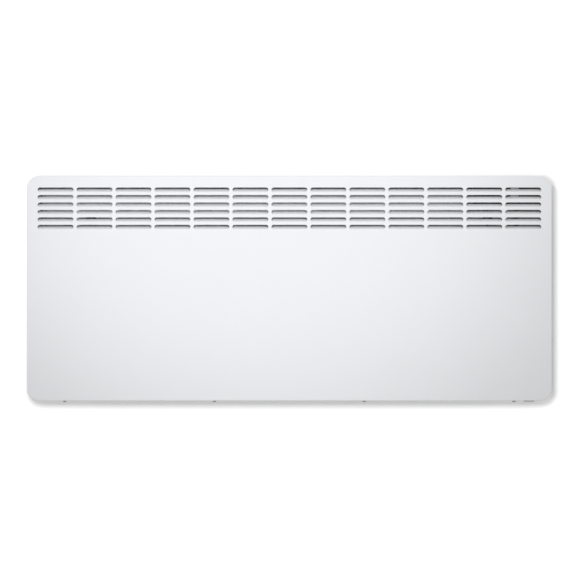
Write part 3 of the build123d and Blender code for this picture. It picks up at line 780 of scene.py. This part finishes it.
# From the stem up: flange, cap, and the shallow dish in the cap's top.
key_layers = (
    (2.0, 2.0, 0.3, 212.8),
    (2.0, 2.0, 0.3, 220.6),
    (6.25, 8.75, 1.2, 220.6),
    (6.25, 8.75, 1.2, 221.6),
    (5.0, 7.5, 0.9, 221.6),
    (5.0, 7.5, 0.9, 224.8),
    (4.9, 7.4, 0.85, 225.1),
    (4.65, 7.15, 0.7, 225.26),
    (4.3, 6.8, 0.6, 225.29),
    (3.6, 6.0, 0.6, 225.2),
    (2.4, 4.6, 0.6, 225.12),
)
for number in range(1, key_count + 1):
    key_x = last_key_x - key_pitch * (key_count - number)
    key_place = Matrix.Translation((key_x, key_y, 0.0))
    key = stacked_mesh(f"key_cap_{number}", key_layers, key_place)
    dress(f"key_cap_{number}", key, grey_plastic, f"key_{number}", f"key_{number}")

# ---- Mains switch ----------------------------------------------------------------------------
# Black snap-in rocker switch in the casing's floor, worked from below. The moulded body has a
# raised frame round the rocker, which pivots inside it and shows a shallow V with rounded edges.
switch_x = 481.0
switch_y = -52.0
rocker_pivot_z = -221.5
rocker_half_length = 7.4
rocker_half_width = 4.95
rocker_face = 3.8
rocker_shoulder = 1.1
rocker_root = 3.0
rocker_crest = 1.2  # radius of the low crest between the rocker's two halves
rocker_tilt = 8.0
rocker_face_steps = 8
# From the top of the body down to the frame, and up again inside the well that the rocker sits in.
switch_layers = (
    (9.5, 6.4, 0.5, -202.7),
    (9.5, 6.4, 0.5, -223.7),
    (10.5, 7.5, 1.2, -223.7),
    (10.5, 7.5, 1.2, -226.3),
    (10.1, 7.1, 0.8, -226.7),
    (8.8, 5.7, 0.6, -226.7),
    (8.4, 5.3, 0.4, -226.3),
    (8.4, 5.3, 0.4, -216.5),
)
switch_place = Matrix.Translation((switch_x, switch_y, 0.0))
switch_body = stacked_mesh("mains_switch_body", switch_layers, switch_place)
dress("mains_switch_body", switch_body, black_plastic, "switch_body", "heater")


def rocker_mesh():
    """The rocker's side outline, tipped to its rest position and drawn out over its width."""
    tip = math.radians(rocker_tilt)
    outline = []
    for step in range(-rocker_face_steps, rocker_face_steps + 1):
        x = rocker_half_length * step / rocker_face_steps
        rise = math.tan(tip) * (math.hypot(x, rocker_crest) - rocker_crest)
        outline.append((x, -rocker_face - rise))
    outline += [
        (rocker_half_length, -rocker_shoulder),
        (rocker_root, rocker_root),
        (-rocker_root, rocker_root),
        (-rocker_half_length, -rocker_shoulder),
    ]
    skin = bmesh.new()
    sides = []
    for y in (switch_y - rocker_half_width, switch_y + rocker_half_width):
        side = []
        for x, z in outline:
            turned_x = x * math.cos(tip) + z * math.sin(tip)
            turned_z = z * math.cos(tip) - x * math.sin(tip)
            place = (switch_x + turned_x, y, rocker_pivot_z + turned_z)
            side.append(skin.verts.new([length * MM for length in place]))
        sides.append(side)
    join_rings(skin, sides)
    for side in sides:
        skin.faces.new(side)
    bmesh.ops.recalc_face_normals(skin, faces=skin.faces)
    return stored(skin, "mains_switch_rocker")


rocker = new_object("rocker_blank", rocker_mesh())
rounding = rocker.modifiers.new("rounding", "BEVEL")
rounding.width = 0.35 * MM
rounding.segments = 2
rounding.limit_method = "ANGLE"
rounding.angle_limit = math.radians(40)
rounded_rocker = as_plain_mesh(rocker).data
bpy.data.objects.remove(rocker)
dress("mains_switch_rocker", rounded_rocker, black_plastic, "switch_rocker", "rocker")

# ---- Supply side -----------------------------------------------------------------------------
# Terminal block on the rear wall above the cable gland, the room sensor in its holder on the
# floor, and the inner leads, which run up to the control unit in braided glass sleeves.


def braided_sleeve():
    """Woven glass-fibre sleeve, made dark grey as painted shade where it runs up behind the
    louvres: two sets of strands crossing at a slant.
    """
    shade_darkened_grey = (0.26, 0.257, 0.25)
    sleeve = Finish("sleeve_fabric", shade_darkened_grey, roughness=0.8, Specular_IOR_Level=0.3)
    strands = 4200.0  # radians to the metre
    x = sleeve.node("ShaderNodeSeparateXYZ", {}, {"Vector": sleeve.place}, "X")
    across = x + x.beside("Y")
    along = x.beside("Z")
    left = (along + across) * strands
    right = (along - across) * strands
    weave = 0.5 + 0.25 * left.sine() + 0.25 * right.sine()
    sleeve.feed("Base Color", sleeve.shade(weave, depth=0.16))
    sleeve.bump(weave, depth=0.0002, strength=0.6)
    return sleeve


white_plastic.onto(nodes["terminal_block"], nodes["sensor_holder"])
black_plastic.onto(nodes["cable_gland"])
dark_zinc.onto(nodes["room_sensor"])
braided_sleeve().onto(nodes["element_lead"], nodes["switch_lead"])

# ---- Room ------------------------------------------------------------------------------------
# A white wall just behind the heater, a pale floor below it, one soft-edged spot lamp in front
# and a dim even surround. Wall and floor are clear from behind, so every side can be seen.
floor_height = -0.75
wall_reach = 7.0
wall_top = 4.0
wall_y = 0.0006  # clear of the feet and the bracket, which end on the wall plane
# The white that the camera sees on the wall grows with the distance from a box behind the heater.
# Painted shadow: the box is set off to the right and down, and the white is weakest below, so the
# band where the wall's real shadow shows has a painted shape.
shadow_box_centre = (5.15 * MM, 0.0, -3.3 * MM)
shadow_box_half = (503.7 * MM, 10.0, 198.4 * MM)
shadow_beside_heater = {"glow": 0.085, "start": 21.9 * MM, "reach": 24.8 * MM}
shadow_below_heater = {"glow": 0.215, "start": 30.5 * MM, "reach": 21.3 * MM}


def one_sided(name, colour, clear_to_scattered=0.0):
    """Matt paint, clear from behind; to the camera it turns plain white away from the heater.

    What is clear to scattered light too lets the surround reach the heater's back."""
    material = bpy.data.materials.new(name)
    material.use_nodes = True
    recipe = Recipe(material.node_tree)
    material.node_tree.nodes.remove(material.node_tree.nodes["Principled BSDF"])

    def vector(operation, first, second=(0.0, 0.0, 0.0), result="Vector"):
        settings = {"operation": operation}
        return recipe.node("ShaderNodeVectorMath", settings, {0: first, 1: second}, result)

    place = recipe.node("ShaderNodeTexCoord", result="Object")
    from_centre = vector("ABSOLUTE", vector("SUBTRACT", place, shadow_box_centre))
    outside = vector("MAXIMUM", vector("SUBTRACT", from_centre, shadow_box_half))
    gap = vector("LENGTH", outside, result="Value")
    downward = vector("DOT_PRODUCT", vector("NORMALIZE", outside), (0.0, 0.0, 1.0), "Value")

    def by_direction(size):
        return shadow_beside_heater[size] + (shadow_below_heater[size] - shadow_beside_heater[size]) * downward

    near_glow = by_direction("glow")
    far = ((gap - by_direction("start")) / by_direction("reach")).clipped()
    seen = recipe.node("ShaderNodeLightPath", result="Is Camera Ray")
    # The camera's white, weakest in the painted shadow band round the heater.
    strength = (near_glow + (1.0 - near_glow) * far) * seen
    white = (1.0, 1.0, 1.0, 1.0)
    glow = recipe.node("ShaderNodeEmission", {}, {"Color": white, "Strength": strength})
    paint = recipe.node("ShaderNodeBsdfDiffuse", {}, {"Color": (*colour, 1.0)})
    front = recipe.node("ShaderNodeAddShader", {}, {0: paint, 1: glow})
    behind = recipe.node("ShaderNodeNewGeometry", result="Backfacing")
    scattered = seen.beside("Is Diffuse Ray") + seen.beside("Is Glossy Ray")
    gone = (behind + seen.beside("Is Shadow Ray") + clear_to_scattered * scattered).clipped()
    clear = recipe.node("ShaderNodeBsdfTransparent")
    mixed = recipe.node("ShaderNodeMixShader", {}, {0: gone, 1: front, 2: clear})
    output = material.node_tree.nodes["Material Output"]
    material.node_tree.links.new(mixed.socket, output.inputs["Surface"])
    return material


def flat_sheet(name, corners, material):
    """A bare stage for the picture, which isn't part of the heater."""
    mesh = bpy.data.meshes.new(name)
    mesh.from_pydata(corners, [], [(0, 1, 2, 3)])
    mesh.materials.append(material)
    piece = new_object(name, mesh)


flat_sheet(
    "wall",
    [
        (-wall_reach, wall_y, floor_height),
        (wall_reach, wall_y, floor_height),
        (wall_reach, wall_y, wall_top),
        (-wall_reach, wall_y, wall_top),
    ],
    one_sided("wall_paint", (0.82, 0.82, 0.82), clear_to_scattered=1.0),
)
flat_sheet(
    "floor",
    [
        (-wall_reach, -wall_reach, floor_height),
        (wall_reach, -wall_reach, floor_height),
        (wall_reach, wall_reach, floor_height),
        (-wall_reach, wall_reach, floor_height),
    ],
    one_sided("floor_paint", (0.8, 0.8, 0.8)),
)

# The surround is white to the camera, and in metal and glass, and a little dimmer as light.
surround_level = 0.716
world = bpy.data.worlds.new("surround")
bpy.context.scene.world = world
world.use_nodes = True
sky = Recipe(world.node_tree)
straight = sky.node("ShaderNodeLightPath", result="Is Camera Ray")
mirrored = straight.beside("Is Glossy Ray")
through = straight.beside("Is Transmission Ray")
shown = (straight + mirrored + through).clipped()
level = surround_level + (1.0 - surround_level) * shown
backdrop = world.node_tree.nodes["Background"]
backdrop.inputs["Color"].default_value = (1.0, 1.0, 1.0, 1.0)
world.node_tree.links.new(level.socket, backdrop.inputs["Strength"])

lamp_aim = Vector((-0.058, -0.098, 0.215))
lamp_offset = Vector((-0.4, -4.9, 0.8))
lamp_data = bpy.data.lights.new("key", "SPOT")
lamp_data.energy = 314.0
lamp_data.shadow_soft_size = 0.1
lamp_data.spot_size = math.radians(15.8)
lamp_data.spot_blend = 1.0
lamp = bpy.data.objects.new("key", lamp_data)
bpy.context.scene.collection.objects.link(lamp)
lamp.location = lamp_aim + lamp_offset
lamp.rotation_euler = (-lamp_offset).to_track_quat("-Z", "Y").to_euler()
lamp.scale = (1.16, 1.0, 1.0)

camera_distance = 14.0
picture_width = 580 * 2.0015 * MM  # the picture's 580 pixels at 2.0015 mm each
camera_data = bpy.data.cameras.new("camera")
camera_data.sensor_width = 36.0
camera_data.sensor_fit = "HORIZONTAL"
camera_data.lens = camera_data.sensor_width * camera_distance / picture_width
camera_data.clip_end = 100.0
camera = bpy.data.objects.new("camera", camera_data)
bpy.context.scene.collection.objects.link(camera)
camera.location = (1.2 * MM, panel_front * MM - camera_distance, -3.2 * MM)
camera.rotation_euler = (math.radians(90), 0.0, 0.0)
bpy.context.scene.camera = camera
bpy.context.scene.view_settings.view_transform = "Standard"
